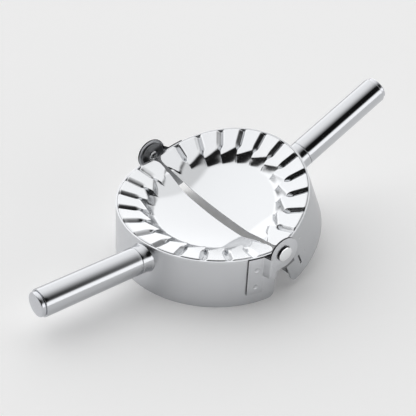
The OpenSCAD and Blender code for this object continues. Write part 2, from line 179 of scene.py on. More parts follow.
def meshFromRows(name, rows, holes=()):
    # rows of points, one quad between neighbours; holes are (row, column) cells left out
    mesh = bpy.data.meshes.new(name)
    width = len(rows[0])
    faces = [(i * width + j, i * width + j + 1, (i + 1) * width + j + 1, (i + 1) * width + j)
             for i in range(len(rows) - 1) for j in range(width - 1) if (i, j) not in holes]
    mesh.from_pydata([p for row in rows for p in row], [], faces)
    dropLoose(mesh)
    return mesh


def dropLoose(mesh, near=0.001 * mm):
    work = bmesh.new()
    work.from_mesh(mesh)
    bmesh.ops.remove_doubles(work, verts=work.verts, dist=near)
    bmesh.ops.delete(work, geom=[v for v in work.verts if not v.link_faces], context="VERTS")
    bmesh.ops.recalc_face_normals(work, faces=work.faces)
    work.to_mesh(mesh)
    work.free()


def smoothFaces(mesh, sharp=35):
    mesh.shade_smooth()
    mesh.set_sharp_from_angle(angle=math.radians(sharp))


def applyAll(piece):
    # the modifiers' result becomes the piece's own plain mesh
    bpy.context.view_layer.update()
    done = piece.evaluated_get(bpy.context.evaluated_depsgraph_get())
    mesh = bpy.data.meshes.new_from_object(done)
    piece.modifiers.clear()
    piece.data = mesh
    return piece


def softenEdges(piece, width, segments=2, angle=32, slot=-1):
    bevel = piece.modifiers.new("soften", "BEVEL")
    bevel.material = slot
    bevel.width = width
    bevel.segments = segments
    bevel.limit_method = "ANGLE"
    bevel.angle_limit = math.radians(angle)
    bevel.harden_normals = False
    weights = piece.modifiers.new("evenNormals", "WEIGHTED_NORMAL")
    weights.keep_sharp = True
    return piece


def finishPiece(piece, steel, body, slot, *nodes, edge=None):
    # clearing the materials resets the marks, so they are put back for a second steel, the
    # near-black edge steel that paints shade on rims and on the rivet heads' walls
    marks = [face.material_index for face in piece.data.polygons]
    piece.data.materials.clear()
    piece.data.materials.append(steel)
    if edge is not None:
        piece.data.materials.append(edge)
        piece.data.polygons.foreach_set("material_index", marks)
    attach(piece, body)
    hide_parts(*nodes)
    return piece


def copyOfNode(node, flat=1.0):
    # a merged copy of a node's mesh, its flat stretches made whole again
    mesh = frame["nodes"][node].data.copy()
    mesh.name = node + "_fine"
    work = bmesh.new()
    work.from_mesh(mesh)
    bmesh.ops.remove_doubles(work, verts=work.verts, dist=0.002 * mm)
    bmesh.ops.dissolve_limit(work, angle_limit=math.radians(flat), verts=work.verts,
                             edges=work.edges)
    work.to_mesh(mesh)
    work.free()
    smoothFaces(mesh)
    return mesh


# Formulas inside node trees

class Amount:
    # a number field, so that a formula reads as one
    def __init__(self, tree, socket):
        self.tree = tree
        self.socket = socket

    def do(self, operation, *others):
        node = self.tree.nodes.new("ShaderNodeMath")
        node.operation = operation
        for slot, other in zip(node.inputs, (self, *others)):
            if isinstance(other, Amount):
                self.tree.links.new(other.socket, slot)
            else:
                slot.default_value = other
        return Amount(self.tree, node.outputs[0])

    def __add__(self, other):
        return self.do("ADD", other)

    __radd__ = __add__

    def __sub__(self, other):
        return self.do("SUBTRACT", other)

    def __rsub__(self, other):
        return self.do("MULTIPLY", -1.0).do("ADD", other)

    def __mul__(self, other):
        return self.do("MULTIPLY", other)

    __rmul__ = __mul__

    def __truediv__(self, other):
        return self.do("DIVIDE", other)

    def power(self, other):
        return self.do("POWER", other)

    def atLeast(self, other):
        return self.do("MAXIMUM", other)

    def atMost(self, other):
        return self.do("MINIMUM", other)

    def share(self):
        return self.atLeast(0.0).atMost(1.0)

    def soft(self):
        u = self.share()
        return u * u * (3.0 - 2.0 * u)

    def ramp(self, first=0.12, last=0.62):
        # straight slope from 0 to 1, its two ends rounded over these shares
        u = self.share()
        low, high = u.atMost(first), (u - (1.0 - last)).atLeast(0.0)
        rise = low * low * (0.5 / first) + (u - first).atLeast(0.0) - high * high * (0.5 / last)
        return rise * (1.0 / (1.0 - 0.5 * (first + last)))


def geometryTree(name, sizes):
    # a tree with one named input for each size, a material input and one mesh output
    tree = bpy.data.node_groups.new(name, "GeometryNodeTree")
    tree.interface.new_socket("Geometry", in_out="OUTPUT", socket_type="NodeSocketGeometry")
    tree.interface.new_socket("Geometry", in_out="INPUT", socket_type="NodeSocketGeometry")
    for label, value in sizes.items():
        kind = "NodeSocketInt" if isinstance(value, int) else "NodeSocketFloat"
        tree.interface.new_socket(label, in_out="INPUT", socket_type=kind)
    tree.interface.new_socket("Steel", in_out="INPUT", socket_type="NodeSocketMaterial")
    start = tree.nodes.new("NodeGroupInput")
    end = tree.nodes.new("NodeGroupOutput")
    amounts = {label: Amount(tree, start.outputs[label]) for label in sizes}
    return tree, start, end, amounts


def runTree(piece, tree, sizes, steel):
    modifier = piece.modifiers.new(tree.name, "NODES")
    modifier.node_group = tree
    for item in tree.interface.items_tree:
        if item.in_out == "INPUT" and item.name in sizes:
            modifier[item.identifier] = sizes[item.name]
        if item.in_out == "INPUT" and item.name == "Steel":
            modifier[item.identifier] = steel
    return applyAll(piece)


def closeTree(tree, start, end, geometry):
    # every tree ends in real geometry with its material set
    realize = tree.nodes.new("GeometryNodeRealizeInstances")
    paint = tree.nodes.new("GeometryNodeSetMaterial")
    tree.links.new(geometry, realize.inputs[0])
    tree.links.new(realize.outputs[0], paint.inputs["Geometry"])
    tree.links.new(start.outputs["Steel"], paint.inputs["Material"])
    tree.links.new(paint.outputs[0], end.inputs[0])


# Pleated half bowls

bowlSizes = {
    "Columns": 433,
    "Rings": 92,
    "Rim radius": rimRadius,
    "Rim height": rimZ,
    "Rim bend": 0.85 * mm,
    "Skirt height": 4 * mm,
    "End gap": endGap,
    "Corner": 5 * mm,
    "Depth": 9.4 * mm,
    "Floor rise": 2.0 * mm,
    "Land slope": math.tan(math.radians(13)),
    "Land width": 12.3 * mm,
    "Wall run": 8 * mm,
    "Nose reach": 7.0 * mm,
    "Nose drop": 2.7 * mm,
    "Nose place": 0.74,
    "Lobe start": 0.4 * mm,
    "Groove count": 11,
    "Groove depth": 1.8 * mm,
    "Rim depth": 1.6 * mm,
    "Groove width": 4.4 * mm,
    "Groove start": 0.2 * mm,
    "Groove run": 5 * mm,
    "Facet step": 0.25 * mm,
    "Facet slope": 0.375,
    "Facet crease": 0.5 * mm,
}
bowlWall = 0.6 * mm


def bowlTree():
    tree, start, end, size = geometryTree("pleatedBowl", bowlSizes)
    link = tree.links.new
    grid = tree.nodes.new("GeometryNodeMeshGrid")
    link(size["Columns"].socket, grid.inputs["Vertices X"])
    link(size["Rings"].socket, grid.inputs["Vertices Y"])
    where = tree.nodes.new("GeometryNodeInputPosition")
    parts = tree.nodes.new("ShaderNodeSeparateXYZ")
    link(where.outputs[0], parts.inputs[0])
    across = Amount(tree, parts.outputs[0]) + 0.5
    outward = Amount(tree, parts.outputs[1]) + 0.5

    # Along the profile: floor, wall and land, then the turned rim and the skirt
    rim, bend, gap = size["Rim radius"], size["Rim bend"], size["End gap"]
    bendStart = rim - bend
    bendEnd = bendStart + bend * (math.pi / 2)
    total = bendEnd + size["Skirt height"] - bend
    along = gap + (total - gap) * (1.0 - (1.0 - outward).power(1.5))
    turn = ((along - bendStart) / bend).atLeast(0.0).atMost(math.pi / 2)
    radius = along.atMost(bendStart) + bend * turn.do("SINE")
    down = bend * (1.0 - turn.do("COSINE")) + (along - bendEnd).atLeast(0.0)
    skirt = ((along - bendEnd) / (size["Skirt height"] - bend)).share()

    # Around: cells with a groove in the middle of each, end lands cut beside the hinge
    cells = size["Groove count"] + 1.0
    pitch = cells.power(-1.0) * math.pi
    spot = across * cells
    number = spot.do("ROUND").atLeast(1.0).atMost(size["Groove count"])
    off = spot - number
    sign = off.do("SIGN")
    far = off.do("ABSOLUTE")
    middle = (number - cells * 0.5) * pitch
    corner = size["Corner"]
    past = (radius - rim + corner).atLeast(0.0).atMost(corner)
    edgeX = gap + corner - (corner * corner - past * past).do("SQRT")
    endAngle = (edgeX / radius.atLeast(edgeX)).do("ARCCOSINE")
    rimAngle = ((gap + corner) / rim).do("ARCCOSINE")
    squeeze = (endAngle / rimAngle).atMost(1.0)
    openEnd = endAngle / squeeze.atLeast(0.001)

    landInner = rim - size["Land width"]
    foot = landInner - size["Wall run"]
    grooveShare = ((radius - landInner + size["Groove start"]) / size["Groove run"]).share()
    open = 1.0 - (1.0 - grooveShare).power(2.2)
    half = size["Groove width"] * (0.06 + 0.44 * open)
    halfAngle = (half / radius).atMost(0.06)
    inGroove = (far / 0.25).atMost(1.0) * halfAngle
    onLand = ((far - 0.25) / 0.25).share() * (pitch * 0.5 - halfAngle)
    atEnd = ((far - 0.5) / 0.5).share() * (openEnd - middle.do("ABSOLUTE") - pitch * 0.5)
    aside = inGroove + onLand + atEnd
    angle = (middle + sign * aside) * squeeze

    # Heights
    lean, tip = off + off.do("LESS_THAN", 0.0), size["Nose place"]
    nearGroove = (1.0 - lean / tip).do("SMOOTH_MAX", (lean - tip) / (1.0 - tip), 0.2)
    lobeShare = ((radius - foot - size["Lobe start"]) / (landInner - foot)).soft()
    edge = landInner - size["Nose drop"] + size["Nose reach"] * nearGroove * lobeShare
    wall = ((edge - radius) / (edge - foot)).ramp()
    landFall = (rim - radius.atLeast(foot)) * size["Land slope"]
    footShare = radius.atMost(foot) / foot
    floorFall = size["Depth"] - size["Floor rise"] * footShare * footShare
    roundFall = landFall * (1.0 - wall) + floorFall * wall
    aboutY = (radius * angle.do("SINE")).do("ABSOLUTE")
    facetFall = (rim - landInner) * size["Land slope"] + size["Facet step"] \
        + (landInner - aboutY).atLeast(0.0) * size["Facet slope"]
    sheetFall = roundFall.do("SMOOTH_MIN", facetFall, size["Facet crease"])
    flank = (1.0 - (aside / halfAngle)).atLeast(0.0)
    grooveIn = flank.power(1.3).do("SMOOTH_MIN", 0.94, 0.12)
    shallow = ((radius - rim + 3 * mm) / (3 * mm)).soft()
    deep = size["Groove depth"] * (1.0 - shallow) + size["Rim depth"] * shallow
    grooveFall = deep * grooveIn * (grooveShare * 1.6).soft() * (1.0 - skirt)
    height = size["Rim height"] - sheetFall - grooveFall - down

    point = tree.nodes.new("ShaderNodeCombineXYZ")
    link((radius * angle.do("COSINE")).socket, point.inputs[0])
    link((radius * angle.do("SINE")).socket, point.inputs[1])
    link(height.socket, point.inputs[2])
    shape = tree.nodes.new("GeometryNodeSetPosition")
    link(grid.outputs["Mesh"], shape.inputs["Geometry"])
    link(point.outputs[0], shape.inputs["Position"])
    flip = tree.nodes.new("GeometryNodeFlipFaces")
    link(shape.outputs[0], flip.inputs[0])
    merge = tree.nodes.new("GeometryNodeMergeByDistance")
    merge.inputs["Distance"].default_value = 0.002 * mm
    link(flip.outputs[0], merge.inputs[0])
    closeTree(tree, start, end, merge.outputs[0])
    return tree


def makeBowls():
    tree = bowlTree()
    for side, half in halves.items():
        steel = steels[side, "bowl"]
        bowl = newObject(f"{side}_pleated_bowl", bpy.data.meshes.new(f"{side}_pleated_bowl"))
        runTree(bowl, tree, bowlSizes, steel)
        sheet = bowl.modifiers.new("sheet", "SOLIDIFY")
        sheet.thickness = bowlWall
        sheet.offset = -1
        applyAll(bowl)
        bowl.data.transform(half["place"])
        smoothFaces(bowl.data, 50)
        finishPiece(bowl, steel, half["body"], "bowl_steel", f"{side}_bowl")
        print(bowl.name, len(bowl.data.polygons), "faces")


makeBowls()


# Sheet pieces: a flat outline, cut into strips, then bent

def spread(first, last, count):
    return [first + (last - first) * i / count for i in range(count + 1)]


def flatSheet(name, outline, alongCuts, upCuts, gaps=()):
    # outline as (along, up) points; gaps are boxes (along0, along1, up0, up1) left open
    work = bmesh.new()
    work.faces.new([work.verts.new((a, 0, z)) for a, z in outline])
    for cuts, axis in ((alongCuts, 0), (upCuts, 2)):
        for value in cuts:
            at = [0, 0, 0]
            way = [0, 0, 0]
            at[axis] = value
            way[axis] = 1
            geometry = work.verts[:] + work.edges[:] + work.faces[:]
            bmesh.ops.bisect_plane(work, geom=geometry, dist=1e-7, plane_co=at, plane_no=way)
    for a0, a1, z0, z1 in gaps:
        inside = []
        for face in work.faces:
            spot = face.calc_center_median()
            if a0 < spot.x < a1 and z0 < spot.z < z1:
                inside.append(face)
        bmesh.ops.delete(work, geom=inside, context="FACES")
    mesh = bpy.data.meshes.new(name)
    work.to_mesh(mesh)
    work.free()
    return mesh


def bendSheet(mesh, place, dents=()):
    # place(along, up, depth) gives the bent point; dents are (along, up, radius, depth)
    for vertex in mesh.vertices:
        a, _, z = vertex.co
        depth = 0.0
        for da, dz, radius, deep in dents:
            far = math.hypot(a - da, z - dz) / radius
            if far < 1:
                depth += deep * (1 - far * far) ** 0.7
            elif far < 1.5:
                depth -= deep * 0.22 * math.sin((far - 1) * 2 * math.pi) ** 2
        vertex.co = place(a, z, depth)
    dropLoose(mesh)
    return mesh


def thickSheet(piece, thickness, bevel, boreAt=None, boreRadius=0.0):
    # the bent face is the outer one; bores run along Y
    outward = sum((f.normal.dot(f.center) * f.area for f in piece.data.polygons), 0.0)
    solid = piece.modifiers.new("sheet", "SOLIDIFY")
    solid.thickness = thickness
    solid.offset = -1 if outward > 0 else 1
    solid.use_even_offset = True
    # rims and bevels take the piece's last steel; on the leaves that is the near-black edge
    # steel, painted shade along the cut edges
    solid.material_offset_rim = 1
    if boreAt is not None:
        cutter = newObject("bore", roundRod(boreRadius, 20 * mm))
        cutter.data.transform(Matrix.Translation(boreAt) @ Matrix.Rotation(math.pi / 2, 4, "X"))
        bore = piece.modifiers.new("bore", "BOOLEAN")
        bore.solver = "EXACT"
        bore.object = cutter
        applyAll(piece)
        bpy.data.objects.remove(cutter)
    softenEdges(piece, bevel, slot=len(piece.data.materials) - 1)
    applyAll(piece)
    return piece


def roundRod(radius, length, around=64):
    mesh = bpy.data.meshes.new("rod")
    work = bmesh.new()
    bmesh.ops.create_cone(work, cap_ends=True, segments=around, radius1=radius, radius2=radius,
                          depth=length)
    work.to_mesh(mesh)
    work.free()
    return mesh


# Half rings

bandSpec = {
    "corner": 3.3 * mm,
    "notch": (1.6 * mm, 16.7 * mm),
    "slot": (8.7 * mm, 9.8 * mm, 6.1 * mm, 12.6 * mm),
    "dents": (13.7 * mm, (10.8 * mm, 21.8 * mm), 0.9 * mm, 0.2 * mm),
    "tab": (-0.38 * mm, 2 * mm, 10.4 * mm, 15.1 * mm),
    "tabCorner": 0.25 * mm,
    "bevel": 0.12 * mm,
    "steps": 150,
}


def makeBands(s):
    radius = ringRadius

    def alongOf(x, end):
        # way along the ring from the middle, for a place x from the hinge plane
        return end * radius * math.acos(x / radius)

    first, last = alongOf(endGap, -1), alongOf(endGap, 1)
    corner = s["corner"]
    outline = []
    turns = spread(0, math.pi / 2, 10)
    for t in turns:
        x = endGap + corner * (1 - math.cos(t))
        outline.append((alongOf(x, -1), corner * (1 - math.sin(t))))
    for t in reversed(turns):
        x = endGap + corner * (1 - math.cos(t))
        outline.append((alongOf(x, 1), corner * (1 - math.sin(t))))
    notchX, notchZ = s["notch"]
    notchAlong = alongOf(notchX, -1)
    outline += [(last, bandHeight), (notchAlong, bandHeight), (notchAlong, notchZ),
                (first, notchZ)]
    slotLow, slotHigh = alongOf(s["slot"][0], -1), alongOf(s["slot"][1], -1)
    dentX, dentZs, dentRadius, dentDepth = s["dents"]
    dentAlong = alongOf(dentX, -1)
    fine = dentRadius * 1.6
    alongCuts = spread(first + 6 * mm, last - 6 * mm, s["steps"])[1:-1]
    alongCuts += [slotLow, slotHigh] + spread(dentAlong - fine, dentAlong + fine, 16)
    upCuts = [s["slot"][2], s["slot"][3], 2 * mm, 26 * mm]
    for z in dentZs:
        upCuts += spread(z - fine, z + fine, 16)

    def place(a, z, depth):
        angle = a / radius
        return ((radius - depth) * math.cos(angle), (radius - depth) * math.sin(angle), z)

    for side, half in halves.items():
        name = f"{side}_half_ring"
        mesh = flatSheet(name, outline, alongCuts, upCuts, [(slotLow, slotHigh, *s["slot"][2:])])
        bendSheet(mesh, place, [(dentAlong, z, dentRadius, dentDepth) for z in dentZs])
        ring = newObject(name, mesh)
        thickSheet(ring, bandWall, s["bevel"])
        joinMesh(ring, tabMesh(s["tab"], s["tabCorner"], s["bevel"]))
        ring.data.transform(half["place"])
        smoothFaces(ring.data)
        finishPiece(ring, steels[side, "band"], half["body"], "band_steel", f"{side}_band")
        print(ring.name, len(ring.data.polygons), "faces")


def tabMesh(size, corner, bevel):
    # small stop tab at the leaf end, its corners rounded
    x0, x1, z0, z1 = size
    y0 = ringRadius - bandWall
    y1 = y0 + bandWall * 0.9
    mesh = bpy.data.meshes.new("tab")
    work = bmesh.new()
    bmesh.ops.create_cube(work, size=1)
    for v in work.verts:
        v.co = (x0 if v.co.x < 0 else x1, y0 if v.co.y < 0 else y1, z0 if v.co.z < 0 else z1)
    upright = [e for e in work.edges if abs(e.verts[0].co.y - e.verts[1].co.y) > 1e-6]
    bmesh.ops.bevel(work, geom=upright, offset=corner, segments=4, profile=0.5,
                    affect="EDGES")
    rest = [e for e in work.edges if len(e.link_faces) == 2 and e.calc_face_angle() > 0.9]
    bmesh.ops.bevel(work, geom=rest, offset=bevel * 0.7, segments=2, profile=0.5,
                    affect="EDGES")
    work.to_mesh(mesh)
    work.free()
    return mesh


def joinMesh(piece, other):
    work = bmesh.new()
    work.from_mesh(piece.data)
    work.from_mesh(other)
    work.to_mesh(piece.data)
    work.free()


makeBands(bandSpec)


# Hinge leaves: ear plate, step and the part welded on the ring

leafSpec = {
    "wall": 0.9 * mm,
    "face": 0.93 * mm,
    "earRadius": 8.5 * mm,
    "plate": 54.1 * mm,
    "stepX": 8.0 * mm,
    "heelX": 9.3 * mm,
    "outerBend": 1.0 * mm,
    "heelBend": 0.5 * mm,
    "low": 6.4 * mm,
    "armLow": 16.7 * mm,
    "neckline": ((0, 20.3 * mm), (6.2 * mm, 18.7 * mm), (7.4 * mm, 16.7 * mm)),
    "reach": 17 * mm,
    "kneeX": 8.8 * mm,
    "dents": (12.6 * mm, (10.8 * mm, 20.96 * mm), 1.2 * mm, 0.24 * mm),
    "bores": {"left": 2.03 * mm, "right": 2.06 * mm},
    "bevel": 0.26 * mm,
    "slit": 0.12 * mm,
}


def filletPath(points, radii, steps=8):
    # plan points joined by straight lines, corners rounded
    path = [Vector(points[0])]
    for before, at, after, radius in zip(points, points[1:], points[2:], radii):
        before, at, after = Vector(before), Vector(at), Vector(after)
        inWay, outWay = (at - before).normalized(), (after - at).normalized()
        bend = math.acos(max(-1, min(1, inWay.dot(outWay))))
        cut = radius * math.tan(bend / 2)
        start, end = at - inWay * cut, at + outWay * cut
        for i in range(steps + 1):
            t = i / steps
            weight = math.cos(bend / 2)
            a, b, c = (1 - t) ** 2, 2 * t * (1 - t) * weight, t * t
            path.append((start * a + at * b + end * c) / (a + b + c))
    path.append(Vector(points[-1]))
    return path


def makeLeaves(s):
    outer = ringRadius + s["face"]
    top = bandHeight - 0.1 * mm
    plate, slit, near = s["plate"], s["slit"], 0.03 * mm
    heel = Vector((s["heelX"], math.sqrt(outer ** 2 - s["heelX"] ** 2)))
    bendPath = filletPath([(0, plate), (s["stepX"], plate), heel,
                           heel + Vector((heel.y, -heel.x)).normalized() * 1.2 * mm],
                          [s["outerBend"], s["heelBend"]])[:-1]
    lengths = [0.0]
    for p, q in zip(bendPath, bendPath[1:]):
        lengths.append(lengths[-1] + (q - p).length)
    bendLength = lengths[-1]
    bendStart = s["stepX"] - s["outerBend"] * 0.9
    lastAngle = math.atan2(bendPath[-1].y, bendPath[-1].x)

    def alongOf(x):
        return bendLength + (lastAngle - math.acos(x / outer)) * outer

    def onPath(a):
        for i in range(1, len(lengths)):
            if a <= lengths[i]:
                t = (a - lengths[i - 1]) / (lengths[i] - lengths[i - 1])
                return bendPath[i - 1].lerp(bendPath[i], t)
        return bendPath[-1]

    def place(a, z, depth):
        if z > top + near or a < 0:
            return (a, plate, z)
        if a < bendLength and z > s["armLow"] - near:
            spot = onPath(a)
            return (spot.x, spot.y, z)
        angle = lastAngle - (a - bendLength) / outer
        return ((outer - depth) * math.cos(angle), (outer - depth) * math.sin(angle), z)

    kneeAlong, endAlong = alongOf(s["kneeX"]), alongOf(s["reach"])
    centre = hingeZ
    ear = s["earRadius"]
    startTurn = math.asin((top - centre) / ear)
    endTurn = 1.5 * math.pi
    outline = [(endAlong, top), (0.5 * (endAlong + bendStart), top)]
    outline += [(ear * math.cos(t), centre + ear * math.sin(t))
                for t in spread(startTurn, endTurn, 72)]
    outline += list(s["neckline"][1:])
    outline += [(kneeAlong, s["armLow"]), (kneeAlong, s["low"]), (endAlong, s["low"])]
    dentX, dentZs, dentRadius, dentDepth = s["dents"]
    dentAlong = alongOf(dentX)
    fine = dentRadius * 1.6
    alongCuts = lengths[1:] + [bendStart, kneeAlong]
    alongCuts += spread(bendLength, endAlong, 14)[1:-1]
    alongCuts += spread(dentAlong - fine, dentAlong + fine, 18)
    upCuts = [top, top + slit, s["armLow"], s["armLow"] - slit]
    for z in dentZs:
        upCuts += spread(z - fine, z + fine, 18)
    gaps = [(bendStart, endAlong, top, top + slit),
            (kneeAlong - 1 * mm, bendLength, s["armLow"] - slit, s["armLow"])]
    for side, half in halves.items():
        name = f"{side}_leaf_sheet"
        mesh = flatSheet(name, outline, alongCuts, upCuts, gaps)
        bendSheet(mesh, place, [(dentAlong, z, dentRadius, dentDepth) for z in dentZs])
        leaf = newObject(name, mesh)
        # the second steel is the near-black edge steel: painted shade and painted dark
        # reflection along the leaf's cut edges
        for steel in (steels[side, "hinge"], steels[side, "edge"]):
            mesh.materials.append(steel)
        thickSheet(leaf, s["wall"], s["bevel"], (0, plate, centre), s["bores"][side])
        leaf.data.transform(half["place"])
        smoothFaces(leaf.data)
        node = "left_front_leaf" if side == "left" else "right_back_leaf"
        finishPiece(leaf, steels[side, "hinge"], half["body"], "hinge_steel", node,
                    edge=steels[side, "edge"])
        print(leaf.name, len(leaf.data.polygons), "faces")


makeLeaves(leafSpec)


# Turned pieces: a profile of (radius, along) points spun round the handle's axis

handleSpec = {
    "shift": 6.9 * mm,
    "height": bandHeight - 9.3 * mm,
    "radius": 7.15 * mm,
    "bore": 6.15 * mm,
    "seam": 53.9 * mm,
    "reach": 108.4 * mm,
    "plugShow": 2.3 * mm,
    "plugRadius": 6.3 * mm,
    "plugLength": 12 * mm,
    "plugEdge": 0.75 * mm,
    "edge": 0.35 * mm,
    "seamGap": 0.02 * mm,
    "flare": 7.7 * mm,
    "screwHole": 2.3 * mm,
    "around": 144,
}


def arc(centre, radius, start, end, steps):
    return [(centre[0] + radius * math.cos(math.radians(t)),
             centre[1] + radius * math.sin(math.radians(t)))
            for t in spread(start, end, steps)]


def spun(name, profile, around, side, along=None):
    # closed profile spun round +X at the handle's place; along may move the points
    rows = []
    shift = -side * handleSpec["shift"]
    for i in range(around + 1):
        turn = 2 * math.pi * (i % around) / around
        row = []
        for radius, x in profile:
            y, z = radius * math.cos(turn), radius * math.sin(turn)
            if along is not None:
                x = along(x, shift + y)
            row.append((x, shift + y, handleSpec["height"] + z))
        rows.append(row)
    return meshFromRows(name, rows)


def makeHandles(s):
    r, bore, seam, reach = s["radius"], s["bore"], s["seam"], s["reach"]
    tip, edge, gap = reach + s["plugShow"], s["edge"], s["seamGap"]
    tubeProfile = ([(bore, seam + gap)]
                   + arc((r - edge, seam + edge + gap), edge, -90, 0, 6)
                   + [(r, x) for x in spread(seam + 2 * mm, reach - 2 * mm, 8)]
                   + arc((r - edge, reach - edge), edge, 0, 90, 6)
                   + [(bore + 0.1 * mm, reach), (bore, reach - 0.1 * mm), (bore, seam + gap)])
    shank, plugEdge, pr = bore - seat, s["plugEdge"], s["plugRadius"]
    inner = reach - s["plugLength"]
    plugProfile = ([(0, inner), (shank - 1 * mm, inner),
                    (shank, inner + 1 * mm), (shank, reach), (pr - 0.2 * mm, reach + seat)]
                   + arc((pr - 0.2 * mm, reach + 0.2 * mm + seat), 0.2 * mm, -60, 0, 4)
                   + arc((pr - plugEdge, tip - plugEdge), plugEdge, 0, 78, 8)
                   + [(pr - plugEdge - 0.4 * mm, tip - 0.01 * mm), (pr * 0.5, tip), (0, tip)])
    lip = s["flare"]
    neckRise = (0, 0.16, 0.4, 0.75, 1.2, 1.8, 2.6)
    neckProfile = [(s["screwHole"], 0), (lip - 0.15 * mm, 0), (lip, 0.12 * mm)]
    neckProfile += [(r + (lip - r) * math.exp(-1.5 * t), (0.12 + t) * mm)
                    for t in neckRise[1:]]
    neckProfile += arc((r - edge, seam - edge), edge, 0, 90, 6)
    neckProfile += [(s["screwHole"], seam), (s["screwHole"], 0)]
    face = ringRadius + seat
    neckEnd = seam - 0.5 * mm

    def onRing(x, y):
        # points given by their height above the ring keep it at every y
        if x > 10 * mm:
            return x
        base = math.sqrt(face * face - y * y)
        return base + x * (neckEnd - base) / (neckEnd - face)

    for side, half in halves.items():
        for name, profile, along, steel, slot, node in (
                ("tube_sleeve", tubeProfile, None, "handle", "handle_steel", "tube"),
                ("plug_turned", plugProfile, None, "plug", "plug_steel", "end_plug"),
                ("neck_collar", neckProfile, onRing, "handle", "handle_steel", "neck")):
            mesh = spun(f"{side}_{name}", profile, s["around"], half["side"], along)
            piece = newObject(f"{side}_{name}", mesh, half["place"])
            smoothFaces(piece.data, 30)
            finishPiece(piece, steels[side, steel], half["body"], slot, f"{side}_{node}")
            print(piece.name, len(piece.data.polygons), "faces")


makeHandles(handleSpec)


# Rivets: one profile spun in a node tree, set at both ends of the hinge line

rivetSizes = {
    "Around": 97,
    "Front seat": 54.1 * mm,
    "Back seat": 54.4 * mm,
    "Hinge height": hingeZ,
    "Hinge place": hingeX,
}
rivetShape = {"head": 4 * mm, "wall": 0.8 * mm, "dome": 1.65 * mm, "lip": 0.12 * mm,
              "shank": 2 * mm}


def rivetProfile(s):
    # (radius, height over the head's seat), from the dome's pole to the rolled tail
    head, wall, dome, lip, shank = (s[k] for k in ("head", "wall", "dome", "lip", "shank"))
    points = [(0, dome)]
    for turn in spread(0, math.pi / 2, 30)[1:]:
        points.append((head * math.sin(turn), wall + (dome - wall) * math.cos(turn)))
    points += arc((head - lip, lip), lip, 0, -90, 5)
    points += [(shank + 0.1 * mm, 0), (shank, -0.1 * mm), (shank, -2.4 * mm)]
    points += arc((2.1 * mm, -2.8 * mm), 0.4 * mm, 60, -160, 10)
    points += [(1.2 * mm, -2.8 * mm), (1.2 * mm, -1.6 * mm), (0, -1.5 * mm)]
    return points


def rivetTree():
    tree, start, end, size = geometryTree("rivets", rivetSizes)
    link = tree.links.new
    count = tree.nodes.new("GeometryNodeAttributeDomainSize")
    link(start.outputs["Geometry"], count.inputs[0])
    grid = tree.nodes.new("GeometryNodeMeshGrid")
    link(size["Around"].socket, grid.inputs["Vertices X"])
    link(count.outputs["Point Count"], grid.inputs["Vertices Y"])
    where = tree.nodes.new("GeometryNodeInputPosition")
    parts = tree.nodes.new("ShaderNodeSeparateXYZ")
    link(where.outputs[0], parts.inputs[0])
    turn = (Amount(tree, parts.outputs[0]) + 0.5) * (2 * math.pi)
    points = Amount(tree, count.outputs["Point Count"])
    row = ((Amount(tree, parts.outputs[1]) + 0.5) * (points - 1.0)).do("ROUND")

    profile = tree.nodes.new("GeometryNodeSampleIndex")
    profile.data_type = "FLOAT_VECTOR"
    link(start.outputs["Geometry"], profile.inputs["Geometry"])
    link(where.outputs[0], profile.inputs["Value"])
    link(row.socket, profile.inputs["Index"])
    spot = tree.nodes.new("ShaderNodeSeparateXYZ")
    link(profile.outputs[0], spot.inputs[0])
    radius = Amount(tree, spot.outputs[0])
    place = tree.nodes.new("ShaderNodeCombineXYZ")
    link((radius * turn.do("COSINE")).socket, place.inputs[0])
    link((radius * turn.do("SINE")).socket, place.inputs[1])
    link(spot.outputs[2], place.inputs[2])
    shape = tree.nodes.new("GeometryNodeSetPosition")
    link(grid.outputs["Mesh"], shape.inputs["Geometry"])
    link(place.outputs[0], shape.inputs["Position"])
    merge = tree.nodes.new("GeometryNodeMergeByDistance")
    merge.inputs["Distance"].default_value = 0.001 * mm
    link(shape.outputs[0], merge.inputs[0])

    joined = tree.nodes.new("GeometryNodeJoinGeometry")
    for label, sign in (("Front seat", -1.0), ("Back seat", 1.0)):
        seatPlace = tree.nodes.new("ShaderNodeCombineXYZ")
        link(size["Hinge place"].socket, seatPlace.inputs[0])
        link((size[label] * sign).socket, seatPlace.inputs[1])
        link(size["Hinge height"].socket, seatPlace.inputs[2])
        stand = tree.nodes.new("GeometryNodeTransform")
        stand.inputs["Rotation"].default_value = (-sign * math.pi / 2, 0, 0)
        link(merge.outputs[0], stand.inputs["Geometry"])
        link(seatPlace.outputs[0], stand.inputs["Translation"])
        link(stand.outputs[0], joined.inputs[0])
    closeTree(tree, start, end, joined.outputs[0])
    return tree


def makeRivets(s):
    points = rivetProfile(s)
    mesh = bpy.data.meshes.new("rivet_pair")
    mesh.from_pydata([(r, 0, h) for r, h in points],
                     [(i, i + 1) for i in range(len(points) - 1)], [])
    rivets = newObject("rivet_pair", mesh)
    steel = steels["left", "rivet"]
    runTree(rivets, rivetTree(), rivetSizes, steel)
    dropLoose(rivets.data)
    smoothFaces(rivets.data, 40)
    finishPiece(rivets, steel, "left_half", "rivet_steel", "front_rivet", "back_rivet",
                edge=steels["left", "edge"])
    for face in rivets.data.polygons:  # the head's upright wall gets the near-black edge steel, painted shade and painted dark reflection round the head
        away = math.hypot(face.center.x - hingeX, face.center.z - hingeZ)
        face.material_index = 1 if away > s["head"] * 0.985 else 0
    print(rivets.name, len(rivets.data.polygons), "faces")


makeRivets(rivetShape)


# Laps, screws and washers keep the construction's form, with their edges broken

smallSpec = {
    # the laps' dark lap steel is painted shade
    "left_back_lap": ("hinge_steel", "lap", 0.12 * mm),
    "right_front_lap": ("hinge_steel", "lap", 0.12 * mm),
    "left_screw": ("inner_steel", "inner", 0.07 * mm),
    "right_screw": ("inner_steel", "inner", 0.07 * mm),
    "left_washer": ("inner_steel", "inner", 0.07 * mm),
    "right_washer": ("inner_steel", "inner", 0.07 * mm),
}


